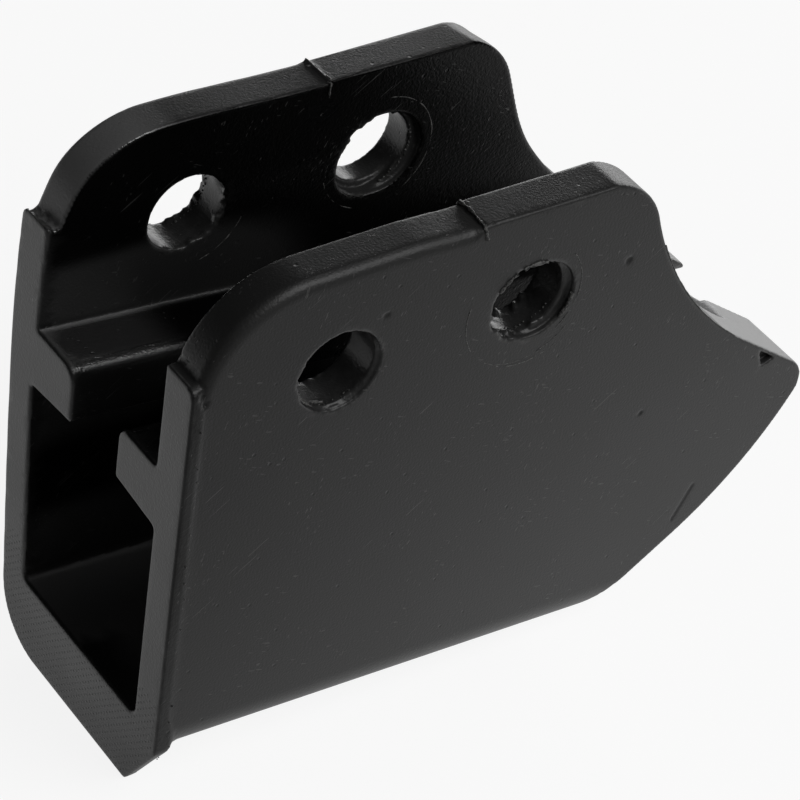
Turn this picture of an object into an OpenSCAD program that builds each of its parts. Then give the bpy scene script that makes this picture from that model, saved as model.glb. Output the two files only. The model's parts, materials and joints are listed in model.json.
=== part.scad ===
// Chain guide block of an off-road motorcycle, moulded in one piece.
// Two side plates straddle a bracket that is bolted between them. Below the
// bracket, two rails and a floor enclose the channel that the chain runs in.
// The origin is on the front bolt axis, midway between the plates.
// X runs back to the tail, Y runs across the block and Z is up.

/* [Block] */
// Width over both side plates
block_w = 34.8; // [31:0.1:40]
// Front end of the side plates, ahead of the front bolt
front_l = 17.8; // [15.5:0.1:22]
// Top edge of the plates above the front bolt
top_h = 13.4; // [10:0.1:16]
// Underside at the front end, below the front bolt
front_depth = 52.1; // [46:0.1:58]
// Fall of the underside towards the tail, in degrees
bottom_fall = 4.6; // [2:0.1:6]
// Rounding of the two long bottom edges
bottom_edge_r = 6.1; // [3:0.1:9]
// Rounding of the front top corners
front_corner_r = 13.4; // [6:0.1:14]

/* [Side plates] */
// Thickness of a side plate beside the bracket
plate_t = 5.2; // [3.5:0.1:6.5]
// How far the top edge drops ahead of the mould seam
seam_step = 0.3; // [0.1:0.05:0.6]
// Mould seam behind the front bolt
seam_l = 17.1; // [13:0.1:20]

/* [Bolts] */
// Diameter of the collar holes
bolt_d = 10; // [6:0.1:12]
// Distance between the bolt axes along the block
bolt_gap = 25; // [20:0.1:30]
// Rear bolt above the front one
bolt_rise = 0.7; // [0:0.1:2]

/* [Rear curve and tail] */
// Start of the rear top corner behind the rear bolt
rear_corner_l = 7.1; // [5:0.1:9]
// Radius of the rear top corners
rear_corner_r = 10.7; // [7:0.1:12]
// Radius of the hollow that clears the sprocket
sprocket_r = 50; // [42:0.5:53]
// Slant at which the rear corner runs into the hollow, in degrees
hollow_slant = 19.5; // [16:0.5:24]
// Tip of the tail behind the rear bolt
tail_l = 46.1; // [43:0.1:50]
// Middle of the tip below the rear bolt
tail_drop = 28; // [26:0.1:31]
// Rounding of the tip
tip_r = 3.2; // [2:0.1:4.5]
// Rise of the straight run behind the heel, in degrees
tail_rise = 34.6; // [32:0.2:38]
// Radius of the curve from that run to the tip
tail_r = 48; // [40:1:60]
// Heel of the underside behind the rear bolt
heel_l = 17.1; // [13:0.1:21]

/* [Chain channel] */
// Thickness of the floor
floor_t = 4.9; // [3.5:0.1:6.5]
// Clear width of the channel below the rails
channel_w = 25.6; // [24.6:0.1:27.5]
// Rounding where the floor meets the walls
channel_corner_r = 1.2; // [0.5:0.1:3]

/* [Rails] */
// Top of the rails at the front end, below the front bolt
rail_depth = 10.3; // [8.5:0.1:13]
// Fall of the rails towards the tail, in degrees
rail_fall = 6.2; // [5:0.1:7.5]
// Thickness of a rail at its root
rail_t = 8.1; // [6:0.1:10]
// How much thinner a rail is at its edge than at its root
rail_taper = 0.9; // [0.2:0.1:1.6]
// Clear gap between the two rails
rail_gap = 9.4; // [7:0.1:12]
// Rounding of the upper edge of a rail
rail_edge_r = 1.8; // [0.5:0.1:2.6]
// Length of the trimmed end of the left rail
trim_l = 10.8; // [8:0.1:12.5]
// Depth of that trim
trim_d = 3.2; // [1.5:0.1:4]
// Slant at the start of that trim, in degrees from square
trim_slant = 16; // [5:1:45]

/* [End flange] */
// How far the flange stands proud of each side plate
flange_side = 0.15; // [0.05:0.05:0.5]
// Flange ahead of the front end of the plates
flange_out = 0.6; // [0.3:0.1:1.5]
// Thickness of the flange
flange_t = 1.8; // [1.2:0.1:2.5]
// Top of the flange above the front bolt
flange_h = 3.9; // [1:0.1:6]
// How far the flange reaches below the underside
lip_h = 6.1; // [3:0.1:7]
// Rounding of the lower right corner of the flange
lip_corner_r = 8; // [4:0.5:9]
// Height of the pared corner at the lower left of the flange
pare_h = 9; // [5:0.1:11]
// Width of that pared corner
pare_w = 4.8; // [3:0.1:6]
// Hollow fillet between the lip and the underside
lip_fillet_r = 2.5; // [1:0.1:3]

/* [Hidden] */
$fn = 96;

// Cuts run past the faces that they open by this much
past = 4;
// Sloping runs start this far ahead of the front end
lead = 14;
// A curve crosses the face that it runs into by this much, so that both meet cleanly
bite = 0.02;
half_w = block_w / 2;
half_channel = channel_w / 2;
front_x = -front_l;
end_x = front_x - flange_out;
lip_bottom_z = -front_depth - lip_h;
rear_bolt = [bolt_gap, bolt_rise];

// The side outline, from the front corner round the top to the tail
front_corner = [front_x + front_corner_r, top_h - seam_step - front_corner_r];
rear_corner = [rear_bolt.x + rear_corner_l, top_h - rear_corner_r];
hollow_reach = rear_corner_r + sprocket_r;
sprocket = rear_corner + hollow_reach * [cos(hollow_slant), sin(hollow_slant)];
tip = [rear_bolt.x + tail_l - tip_r, rear_bolt.y - tail_drop];
heel = [rear_bolt.x + heel_l, underside_z(rear_bolt.x + heel_l)];

// The sloping cut behind the hollow touches both the hollow and the tip
cut_span = norm(tip - sprocket);
cut_normal = atan2(tip.y - sprocket.y, tip.x - sprocket.x) - acos(min(1, (sprocket_r + tip_r) / cut_span));
cut_dir = [cos(cut_normal), sin(cut_normal)];
cut_start = sprocket + (sprocket_r - bite) * cut_dir;
tail_far = tip - tip_r * cut_dir + 4 * tip_r * [-cut_dir.y, cut_dir.x];

// The underside of the tail rises straight from the heel, then curves and touches the tip
tail_dir = [cos(tail_rise), sin(tail_rise)];
tail_out = [sin(tail_rise), -cos(tail_rise)];
heel_to_tip = tip - heel;
tip_side = tail_r + heel_to_tip * tail_out;
tail_run = heel_to_tip * tail_dir - sqrt(max(0, pow(tail_r - tip_r, 2) - tip_side * tip_side));
tail_start = heel + tail_run * tail_dir;
tail_centre = tail_start - tail_r * tail_out;
tip_dir = (tip - tail_centre) / norm(tip - tail_centre);

run_l = lead + front_l + rear_bolt.x + tail_l + 2 * past;

function underside_z(x) = -front_depth - (x - front_x) * tan(bottom_fall);

// Extrudes a cross-section back from the front end, falling by an angle
module run_back(fall, start_z) {
    translate([front_x, 0, start_z])
        rotate([0, fall, 0])
            translate([-lead, 0, 0])
                rotate([90, 0, 90])
                    linear_extrude(run_l)
                        children();
}

// Extrudes a side view across the whole width
module across(width) {
    translate([0, width / 2, 0])
        rotate([90, 0, 0])
            linear_extrude(width)
                children();
}

// What lies beyond a circle, in the area that its centre and the outer points enclose
module round_off(centre, r, outer_points) {
    difference() {
        polygon(concat([centre], outer_points));
        translate(centre)
            circle(r + bite);
    }
}

// What lies beyond the round corner of a box, towards side_x and side_y
module round_corner(centre, r, side_x, side_y) {
    reach_x = side_x * (r + past);
    reach_y = side_y * (r + past);
    round_off(centre, r, [
        centre + [reach_x, 0],
        centre + [reach_x, reach_y],
        centre + [0, reach_y]
    ]);
}

// The underside is left to the cross-section
module side_outline() {
    far_x = tail_far.x + past;
    low_z = lip_bottom_z - 3 * past;
    high_z = top_h + past;
    difference() {
        polygon([
            [front_x, low_z],
            [front_x, top_h - seam_step],
            [seam_l, top_h - seam_step],
            [seam_l, top_h],
            [sprocket.x, top_h],
            cut_start,
            tail_far,
            [tail_far.x, low_z]
        ]);
        round_corner(front_corner, front_corner_r, -1, 1);
        round_off(rear_corner, rear_corner_r, [
            [rear_corner.x, high_z],
            [sprocket.x, high_z],
            sprocket
        ]);
        translate(sprocket)
            circle(sprocket_r, $fn = 240);
        round_off(tip, tip_r + bite, [
            tip - 4 * tip_r * cut_dir,
            [far_x, tip.y],
            tip + 4 * tip_r * tip_dir
        ]);
        polygon([
            heel - 2 * past * tail_dir,
            tail_start + tail_r * tail_dir,
            tail_start + tail_r * (tail_dir + tail_out),
            heel - 2 * past * tail_dir + tail_r * tail_out
        ]);
        round_off(tail_centre, tail_r, [
            tail_start + past * tail_out,
            tail_start + past * tail_out + tail_r * tail_dir,
            tip + 4 * tip_r * tip_dir
        ], $fn = 240);
    }
}

// Outer cross-section, square to the underside, with its two rounded edges
module outer_section() {
    difference() {
        translate([-half_w, 0])
            square([block_w, front_depth + 2 * top_h + 2 * past]);
        for (side = [-1, 1])
            round_corner([side * (half_w - bottom_edge_r), bottom_edge_r], bottom_edge_r, side, -1);
    }
}

// Room above the floor
module above_floor() {
    r = channel_corner_r;
    difference() {
        translate([-half_channel, floor_t])
            square([channel_w, front_depth + 2 * top_h + 2 * past]);
        for (side = [-1, 1])
            round_corner([side * (half_channel - r), floor_t + r], r, side, -1);
    }
}

// Room between the plates and, below the middle of the rails, in the channel,
// measured from the top of the rails
module between_plates() {
    half_slot = half_w - plate_t;
    rail_middle = -rail_t / 2;
    translate([-half_slot, rail_middle])
        square([2 * half_slot, rail_depth + 3 * top_h + past]);
    translate([-half_channel, rail_middle - front_depth])
        square([channel_w, front_depth]);
}

module chain_and_bracket_room() {
    intersection() {
        run_back(rail_fall, -rail_depth)
            between_plates();
        run_back(bottom_fall, -front_depth)
            above_floor();
    }
}

// Cross-section of the right rail, measured from the middle of its top
module rail_section() {
    half_gap = rail_gap / 2;
    root_y = half_w - plate_t / 2;
    taper_angle = atan(rail_taper / (half_channel - half_gap));
    edge = [half_gap + rail_edge_r, -rail_edge_r];
    difference() {
        polygon([
            [half_gap, 0],
            [root_y, 0],
            [root_y, -rail_t - tan(taper_angle) * (root_y - half_channel)],
            [half_gap, rail_taper - rail_t]
        ]);
        round_corner(edge, rail_edge_r, -1, 1);
    }
}

module rails() {
    run_back(rail_fall, -rail_depth)
        for (side = [0, 1])
            mirror([side, 0])
                rail_section();
}

// Side view of the hollow fillet that joins the lip to the underside
module lip_fillet() {
    lip_back_x = end_x + flange_t;
    corner = [lip_back_x, underside_z(lip_back_x)];
    across(2 * (half_w - bottom_edge_r) - 1)
        difference() {
            translate(corner - [flange_t / 2, lip_fillet_r])
                square([lip_fillet_r + flange_t / 2, 2 * lip_fillet_r]);
            translate(corner + [lip_fillet_r, -lip_fillet_r - tan(bottom_fall) * lip_fillet_r])
                circle(lip_fillet_r + bite);
            translate(corner - [flange_t, 0])
                rotate(-bottom_fall)
                    translate([0, floor_t / 2])
                        square(4 * lip_fillet_r);
        }
}

// The flange stands a little ahead of the plates and hangs below the underside
module end_flange() {
    half_flange = half_w + flange_side;
    translate([end_x, 0, 0])
        rotate([90, 0, 90])
            linear_extrude(flange_t)
                difference() {
                    polygon([
                        [-half_flange, flange_h],
                        [-half_flange, lip_bottom_z + pare_h],
                        [pare_w - half_flange, lip_bottom_z],
                        [half_flange, lip_bottom_z],
                        [half_flange, flange_h]
                    ]);
                    round_corner([half_flange - lip_corner_r, lip_bottom_z + lip_corner_r], lip_corner_r, 1, -1);
                }
}

module bolt_holes() {
    for (bolt = [[0, 0], rear_bolt])
        translate([bolt.x, 0, bolt.y])
            rotate([90, 0, 0])
                cylinder(h = block_w + 2 * past, d = bolt_d, center = true);
}

// The end of the left rail was pared back to free the chain
module rail_trim() {
    start_x = rear_bolt.x + tail_l - trim_l;
    edge_y = -rail_gap / 2;
    translate([0, 0, tip.y - 2 * tip_r])
        linear_extrude(rail_t + 4 * tip_r)
            polygon([
                [start_x, edge_y],
                [start_x + trim_d * tan(trim_slant), edge_y - trim_d],
                [start_x + trim_l + past, edge_y - trim_d],
                [start_x + trim_l + past, edge_y + past],
                [start_x, edge_y + past]
            ]);
}

module guide_block() {
    color("#26272a")
        difference() {
            union() {
                difference() {
                    union() {
                        intersection() {
                            across(block_w + 2 * past)
                                side_outline();
                            run_back(bottom_fall, -front_depth)
                                outer_section();
                        }
                        end_flange();
                        lip_fillet();
                    }
                    chain_and_bracket_room();
                }
                intersection() {
                    across(block_w + 2 * past) {
                        side_outline();
                        translate([end_x, lip_bottom_z])
                            square([flange_t, flange_h - lip_bottom_z]);
                    }
                    rails();
                }
            }
            bolt_holes();
            rail_trim();
        }
}

guide_block();
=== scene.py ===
# %% [markdown]
# # A moulded chain guide block
#
# This lesson dresses one moulded plastic block: the guide that keeps a motorcycle's chain in line.
# Two plates straddle a bracket, two rails and a floor hold the chain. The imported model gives
# the sizes, and each step here says what a piece or a finish is on the real block, how it could
# be made, and why this way was chosen.

# %% Load the frame
import json
import math

import bpy
import numpy as np
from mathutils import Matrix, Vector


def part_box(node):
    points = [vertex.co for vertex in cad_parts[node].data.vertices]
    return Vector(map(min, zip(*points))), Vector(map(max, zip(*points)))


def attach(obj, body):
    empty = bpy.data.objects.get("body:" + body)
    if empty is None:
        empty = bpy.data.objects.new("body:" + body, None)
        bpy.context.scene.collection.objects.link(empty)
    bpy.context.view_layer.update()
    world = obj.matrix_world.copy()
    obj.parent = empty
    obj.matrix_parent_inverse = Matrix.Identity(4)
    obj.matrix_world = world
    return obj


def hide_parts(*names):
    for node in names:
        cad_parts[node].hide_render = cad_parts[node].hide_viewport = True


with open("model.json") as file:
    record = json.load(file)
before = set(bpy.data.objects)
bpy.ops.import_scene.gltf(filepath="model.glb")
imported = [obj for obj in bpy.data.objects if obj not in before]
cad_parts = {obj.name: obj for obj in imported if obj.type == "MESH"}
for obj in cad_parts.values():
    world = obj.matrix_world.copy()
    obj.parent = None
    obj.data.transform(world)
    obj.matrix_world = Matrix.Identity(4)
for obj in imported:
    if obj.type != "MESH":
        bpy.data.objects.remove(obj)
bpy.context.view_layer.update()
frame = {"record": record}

import openvdb
from mathutils import Euler, Matrix, Vector

# %% [markdown]
# ## Sizes
#
# The work is done in millimetres, with the origin on the front bolt axis, X towards the tail and
# Z up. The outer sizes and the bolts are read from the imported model. What that model holds only
# as curves is named here once more. The values are those of the part's source, except at the
# tail, the pared corner and the lip's fillet, which follow the real block by some tenths more.

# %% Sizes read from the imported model
MM = 0.001
mounts = {mount["name"]: mount for mount in frame["record"]["mounts"]}
front_bolt = np.array(mounts["front_bolt"]["pos_m"]) / MM
rear_bolt = np.array(mounts["rear_bolt"]["pos_m"]) / MM
bolt_r = mounts["front_bolt"]["dims"]["r_mm"]
half_w = mounts["front_bolt"]["dims"]["length_mm"] / 2
low, high = (np.array(corner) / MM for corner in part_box("guide_block"))
end_x, tip_x = low[0], high[0]
lip_z, top_z = low[2], high[2]
flange_half_w = high[1]
print("block", np.round(high - low, 2), "rear bolt", rear_bolt, "holes", 2 * bolt_r)

# %% Sizes of the plates and the channel
flange_out = 0.6
lip_h = 6.1
front_x = end_x + flange_out
front_depth = lip_z + lip_h
bottom_fall = math.radians(4.6)
bottom_edge_r = 6.1
front_corner_r = 13.4
plate_t = 5.2
seam_x = 17.1
channel_w = 25.6
channel_corner_r = 1.2
floor_t = 4.9
rail_z = -10.3
rail_fall = math.radians(6.2)
rail_t = 8.1
rail_taper = 0.9
rail_gap = 9.4
rail_edge_r = 1.8
half_slot = half_w - plate_t
half_channel = channel_w / 2
half_gap = rail_gap / 2
print("slot", 2 * half_slot, "channel", channel_w, "gap between the rails", rail_gap)

# %% [markdown]
# ## The side outline
#
# Seen from the side, the flat top rounds into the front end. At the back a corner runs into a
# large hollow that clears the sprocket, a slanting cut leads from it to the tip, and the tail
# curves from the tip to the straight underside. Each stretch is a line or a circle, so a few
# centres and directions are enough to say where all of them are.

# %% Centres of the outline
rear_corner_l = 7.1
rear_corner_r = 10.7
hollow_r = 50.0
hollow_slant = math.radians(19.5)
tip_r = 3.9
tip_past_box = 0.3
tail_drop = 28.5
heel_l = 16.4
tail_r = 48.3
tail_rise = math.radians(34.6)


def direction(angle):
    return np.array([math.cos(angle), math.sin(angle)])


rear_corner = np.array([rear_bolt[0] + rear_corner_l, top_z - rear_corner_r])
sprocket = rear_corner + (rear_corner_r + hollow_r) * direction(hollow_slant)
tip = np.array([tip_x + tip_past_box - tip_r, rear_bolt[2] - tail_drop])
to_tip = tip - sprocket
reach = np.linalg.norm(to_tip)
cut_out = -direction(math.atan2(to_tip[1], to_tip[0]) - math.acos((hollow_r + tip_r) / reach))
cut_start = sprocket - hollow_r * cut_out
heel_x = rear_bolt[0] + heel_l
heel = np.array([heel_x, front_depth - (heel_x - front_x) * math.tan(bottom_fall)])
tail_dir = direction(tail_rise)
tail_out = np.array([tail_dir[1], -tail_dir[0]])
tip_side = tail_r + (tip - heel) @ tail_out
before_tip = math.sqrt((tail_r - tip_r) ** 2 - tip_side**2)
tail_start = heel + ((tip - heel) @ tail_dir - before_tip) * tail_dir
tail_centre = tail_start - tail_r * tail_out
tip_dir = (tip - tail_centre) / np.linalg.norm(tip - tail_centre)
print("hollow", np.round(sprocket, 1), "cut from", np.round(cut_start, 1))
print("tail", np.round(tail_centre, 1))

# %% [markdown]
# ## One rule for the whole block
#
# The moulding has soft corners everywhere, a bowed plate, ragged holes and small breaks. Booleans
# and bevels could make the plain form, but bevels fail where so many edges meet. So the block is
# a rule: for each point in space, its distance to the surface, negative inside. Two distances
# join or cut with one line each, and every joint gets its own rounding.


# %% How distances join
def common(a, b, r):
    """What two solids share. The edge between them is rounded by r."""
    return np.minimum(np.maximum(a, b), -r) + np.hypot(np.maximum(a + r, 0), np.maximum(b + r, 0))


def joined(a, b, r):
    """Two solids as one. The corner between them is filled by r."""
    return -common(-a, -b, r)


def ease(value, start, stop):
    """Runs smoothly from 0 at start to 1 at stop."""
    t = np.clip((value - start) / (stop - start), 0, 1)
    return t * t * (3 - 2 * t)


def hump(value, middle, width):
    return np.exp(-(((value - middle) / width) ** 2))


print("edge of 2 mm:", round(float(common(np.float64(0), np.float64(0), 2.0)), 2), "outside its corner")

# %% [markdown]
# The side view comes first. The underside is missing from it, because the cross-section brings
# that. On the real block the top edge drops a little ahead of the mould seam, and the right plate
# is less even than the left one: its top slopes and its rear corner stands out more.


# %% Side view
def side_distance(x, z, top):
    """Distance to the side view of a plate whose top edge is at the height top."""
    front = common(z - top, front_x - x, front_corner_r)
    hollow = hollow_r - np.hypot(x - sprocket[0], z - sprocket[1])
    cut_x, cut_z = x - cut_start[0], z - cut_start[1]
    slant = cut_x * cut_out[0] + cut_z * cut_out[1]
    rear = np.where(cut_x * cut_out[1] - cut_z * cut_out[0] > 0, slant, hollow)
    run = (x - heel[0]) * tail_out[0] + (z - heel[1]) * tail_out[1]
    curve = np.hypot(x - tail_centre[0], z - tail_centre[1]) - tail_r
    past_start = (x - tail_start[0]) * tail_dir[0] + (z - tail_start[1]) * tail_dir[1] > 0
    tail = np.where(past_start, curve, run)
    corner = np.hypot(x - rear_corner[0], z - rear_corner[1]) - rear_corner_r
    over_corner = (z - rear_corner[1]) > (x - rear_corner[0]) * math.tan(hollow_slant)
    near_tip_x, near_tip_z = x - tip[0], z - tip[1]
    past_cut = near_tip_x * cut_out[1] - near_tip_z * cut_out[0] > 0
    past_tail = near_tip_z * tip_dir[0] - near_tip_x * tip_dir[1] > 0
    whole = np.maximum(np.maximum(front, rear), tail)
    whole = np.where(over_corner & (x > rear_corner[0]), np.maximum(corner, front), whole)
    return np.where(past_cut & past_tail, np.hypot(near_tip_x, near_tip_z) - tip_r, whole)


def top_of_left_plate(x):
    step_up = 0.38 * ease(x, seam_x - 0.25, seam_x + 0.1)
    return top_z + 0.05 - 0.4 * ease(x, 8, seam_x - 0.6) + step_up - 0.35 * ease(x, seam_x, 34)


def top_of_right_plate(x):
    step_up = 0.5 * ease(x, seam_x - 0.25, seam_x + 0.1)
    return top_z - 0.75 * ease(x, -3, seam_x - 0.3) + step_up - 0.4 * ease(x, seam_x, 34)


print("left top ahead of the seam", round(float(top_of_left_plate(16.4)), 2))
print("right top ahead of the seam", round(float(top_of_right_plate(16.4)), 2))


# %% Cross-section
def height_over(x, z, start_z, fall):
    """Height over a plane that starts at the front end and falls towards the tail."""
    return (x - front_x) * math.sin(fall) + (z - start_z) * math.cos(fall)


def room_distance(x, y, z):
    """The room between the plates and in the channel, with the rails left standing."""
    over_rail = height_over(x, z, rail_z, rail_fall)
    walls = np.where(over_rail > -rail_t / 2, np.abs(y) - half_slot, np.abs(y) - half_channel)
    room = common(walls, floor_t - height_over(x, z, front_depth, bottom_fall), channel_corner_r)
    slope = rail_taper / (half_channel - half_gap)
    under = (slope * (half_channel - np.abs(y)) - over_rail - rail_t) * math.cos(math.atan(slope))
    under_r = 0.25 + 1.7 * ease(x, 30, 55)
    rail = common(common(over_rail, half_gap - np.abs(y), rail_edge_r), under, under_r)
    return common(room, -rail, 0.5)


print("floor at the front end", round(front_depth + floor_t, 2), "rail top", rail_z)

# %% [markdown]
# ## The flange and its lip
#
# The front end carries a thin flange that stands a little proud and hangs below the underside
# as a lip. One lower corner is round and the other was pared off with a knife. Behind the lip
# the plastic thickens in a hollow curve.

# %% Flange
flange_t = 1.8
flange_z = 3.9
lip_corner_r = 8.0
lip_fillet_r = 2.0
pare_h = 8.8
pare_w = 5.5


def flange_distance(x, y, z, over_bottom):
    """The flange. Its thickness grows where it leaves the underside."""
    lower = common(y - flange_half_w, lip_z - z, lip_corner_r)
    upper = common(np.abs(y) - flange_half_w, z - flange_z, 1.3)
    pare = np.array([-pare_h, -pare_w]) / math.hypot(pare_h, pare_w)
    pared = (y + flange_half_w) * pare[0] + (z - lip_z - pare_h) * pare[1]
    plan = common(np.maximum(lower, upper), pared, 0.3)
    depth = np.clip(over_bottom, 0, lip_fillet_r)
    swell = lip_fillet_r - np.sqrt(lip_fillet_r**2 - (lip_fillet_r - depth) ** 2)
    back = x - (end_x + flange_t + swell * ease(-z, 44, 50))
    return common(common(plan, end_x - x, 0.2), back, 0.35)


print("flange", 2 * flange_half_w, "wide, lip down to", lip_z)

# %% [markdown]
# ## Wear and damage
#
# The real block isn't even: its right plate bows out near the front, two of its holes are
# ragged, a chip and a slit show on the left, and the end of the left rail was cut back. These
# are cut in the same rule, so that they are real shapes and not only a picture of them.

# %% The bowed right plate
BOW_Z = -13.4


def bow_of_right_plate(x, z):
    """How far the right plate stands out from where it was drawn."""
    below = np.clip((BOW_Z - z) / 31.7, 0, 1.2)
    above = np.clip((z - BOW_Z) / 15.8, 0, 1)
    bow = 0.57 - 1.15 * below**1.5 - 0.7 * above**2
    return bow * (1 - ease(z, 2, 9)) * (1 - ease(x, -5, 32))


# %% Torn holes
WANDERED = np.array([-0.3, 0.0, 0.35])
HOLES = [
    # name, bolt, side of the block, how torn, where the torn part lies, how deep it reaches
    ("left_front", front_bolt, -1, 0.3, math.radians(225), 1.0),
    ("left_rear", rear_bolt, -1, 0.5, math.radians(250), 2.2),
    ("right_front", front_bolt + WANDERED, 1, 0.4, math.radians(-40), 1.2),
    ("right_rear", rear_bolt, 1, 1.0, math.radians(125), 1.6),
]


def torn_radius(turn, depth, torn, torn_at, phase):
    """Radius of a hole: even on one side, torn on the other."""
    teeth = 0.5 * np.sin(9 * turn + phase + 1.3 * depth)
    teeth = teeth + 0.35 * np.sin(16 * turn - 2.3 * phase - 2 * depth)
    teeth = teeth + 0.35 * np.sin(27 * turn + 3.1 * phase + 3 * depth)
    return bolt_r - torn * np.clip(teeth, -0.25, 1) * ease(np.cos(turn - torn_at), -0.1, 0.7)


def hole_distance(x, y, z, bolt, side, torn, torn_at, reach_in, phase):
    dx, dz = x - bolt[0], z - bolt[2]
    depth = np.minimum(np.abs(np.abs(y) - half_w), np.abs(np.abs(y) - half_slot))
    torn_here = torn * (1 - ease(depth, 0.3 * reach_in, reach_in))
    radius = torn_radius(np.arctan2(dz, dx), depth, torn_here, torn_at, phase)
    return np.where(y * side > 0, np.hypot(dx, dz) - radius, 50.0)


print("holes", [hole[0] for hole in HOLES])

# %% [markdown]
# Three of the holes were drilled twice, a little off centre, or carry the print of a washer. Each
# of these is a second, shallow hole beside the first.

# %% Shallow second holes
SECOND_HOLES = [
    # bolt, shift along x and z, radius, the face it starts from, depth
    (rear_bolt, 1.15, -0.4, 5.0, -half_w, 0.7),
    (rear_bolt, 0.65, -0.3, 5.5, half_slot, 0.9),
    (rear_bolt, -0.5, -0.9, 4.9, half_slot, 1.9),
    (front_bolt, 0.3, -0.25, 5.15, -half_w, 0.45),
]


def second_holes_distance(x, y, z):
    out = np.full(np.broadcast(x, y, z).shape, 50.0)
    for bolt, shift_x, shift_z, r, face, depth in SECOND_HOLES:
        round_wall = np.hypot(x - bolt[0] - shift_x, z - bolt[2] - shift_z) - r
        out = np.minimum(out, np.maximum(round_wall, np.abs(y - face) - depth))
    return out


print("second holes", len(SECOND_HOLES))

# %% [markdown]
# The small breaks are rods, or pits with straight sides, taken out of the block. A rod is the
# distance to a line between two points, less its radius. A slow wobble of the distance makes its
# walls rough.


# %% Small breaks
def rod(x, y, z, start, stop, r):
    start, stop = np.array(start), np.array(stop)
    axis = stop - start
    t = ((x - start[0]) * axis[0] + (y - start[1]) * axis[1] + (z - start[2]) * axis[2]) / (axis @ axis)
    t = np.clip(t, 0, 1)
    dx, dy, dz = x - start[0] - t * axis[0], y - start[1] - t * axis[1], z - start[2] - t * axis[2]
    return np.sqrt(dx * dx + dy * dy + dz * dz) - r


def pit(x, y, z, corners, face, depth):
    """A pit whose outline on the side face is a list of corners, in turn."""
    out = np.abs(y - face) - depth
    for (x0, z0), (x1, z1) in zip(corners, corners[1:] + corners[:1]):
        run = math.hypot(x1 - x0, z1 - z0)
        out = np.maximum(out, ((x - x0) * (z1 - z0) - (z - z0) * (x1 - x0)) / run)
    return out


CHIP = [(63.3, -20.5), (64.1, -23.1), (65.9, -22.4)]
SCRAPES = [
    # start, stop, radius
    ((55.1, -half_w - 0.02, -44.2), (57.3, -half_w - 0.02, -39.4), 0.22),
    ((-15.9, -13.0, -54.4), (-13.2, -12.0, -53.6), 0.7),
    ((45.6, -half_w - 0.1, -23.5), (45.8, -half_w - 0.1, -23.3), 0.3),
    ((38.5, -half_w - 0.2, 1.6), (38.8, -half_w - 0.2, 1.7), 0.45),
    ((5.2, -half_w - 0.2, 5.6), (5.5, -half_w - 0.2, 5.7), 0.4),
]
TORN_CORNER = [
    ((-17.4, -12.0, 4.8), (-17.6, -17.4, 4.7), 0.58),
    ((-17.5, -half_w - 0.15, 4.6), (-16.6, -half_w - 0.15, 1.6), 0.42),
    ((-17.3, 12.0, 4.3), (-17.4, 17.6, 3.6), 0.6),
]
trim_x = tip_x - 10.8
trim_d = 3.2
trim_slant = math.radians(16)


def breaks_distance(x, y, z):
    square = (trim_x - x) * math.cos(trim_slant) - (y + half_gap) * math.sin(trim_slant)
    trim = np.maximum(np.maximum(square, -half_gap - trim_d - y), y - 1)
    out = np.minimum(trim, pit(x, y, z, CHIP, -half_w, 0.9))
    for start, stop, r in SCRAPES:
        out = np.minimum(out, rod(x, y, z, start, stop, r))
    wobble = 0.16 * np.sin(5.1 * x + 3.3 * z) * np.sin(4.3 * y + 6.1 * z + 1.0)
    for start, stop, r in TORN_CORNER:
        out = np.minimum(out, rod(x, y, z, start, stop, r) + wobble)
    return out


print("left rail cut back from", round(trim_x, 1))

# %% [markdown]
# Last, the pieces of the rule come together: side view and cross-section meet, the flange is
# joined on, and then the room, the holes and the breaks are cut.

# %% The block's rule
RIGHT_TOP_FALL = 0.5
RIGHT_TOP_DROP = 0.85
LEFT_EDGE_R, RIGHT_EDGE_R = 1.2, 0.5


def block_distance(x, y, z):
    left = side_distance(x, z, top_of_left_plate(x))
    further_back = ease(z, -6, 6) * ease(x, 20, 30) * (1 - 0.85 * ease(y, half_slot, half_w))
    pulled_in = 0.55 * hump(z, 5, 3.5) * (1 - ease(x, -10, -4))
    lower_end = 0.6 * ease(x, 55, 60)
    right = side_distance(x - further_back - pulled_in, z + lower_end, top_of_right_plate(x))
    side = np.where(y < 0, left, right)
    outer_slope = z - (top_z - RIGHT_TOP_DROP + RIGHT_TOP_FALL * (half_w - y) / plate_t)
    side = np.where((y > 0) & (x > seam_x), common(side, outer_slope, 0.7), side)
    y = y - bow_of_right_plate(x, z) * ease(y, 2, 9)
    over_bottom = -height_over(x, z, front_depth + 0.15, bottom_fall)
    section = common(np.abs(y) - half_w, over_bottom, bottom_edge_r)
    ahead_of_seam = (1 - ease(x, seam_x - 1.5, seam_x)) * ease(z, -6, 4)
    edge_r = 0.3 + np.where(y < 0, LEFT_EDGE_R, RIGHT_EDGE_R) * ahead_of_seam
    body = common(side, section, edge_r)
    body = joined(body, flange_distance(x, y, z, section), 0.08)
    body = common(body, -room_distance(x, y, z), 0.3)
    for k, (name, bolt, hand, torn, torn_at, reach_in) in enumerate(HOLES):
        hole = hole_distance(x, y, z, bolt, hand, torn, torn_at, reach_in, 1.7 + 2.3 * k)
        body = common(body, -hole, 0.2)
    body = common(body, -second_holes_distance(x, y, z), 0.1)
    return common(body, -breaks_distance(x, y, z), 0.1)


print("inside the floor:", round(float(block_distance(*np.array([[20.0], [0.0], [-53.0]]))[0]), 2))

# %% [markdown]
# ## From the rule to a mesh
#
# The rule is worked out on a fine grid of points and OpenVDB lays a skin where it is zero, as
# Blender's own volume tools do. That skin has hundreds of thousands of small faces, so Decimate
# thins it where it is flat.

# %% Skin of the block
STEP = 0.28
MARGIN = 1.2


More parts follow.
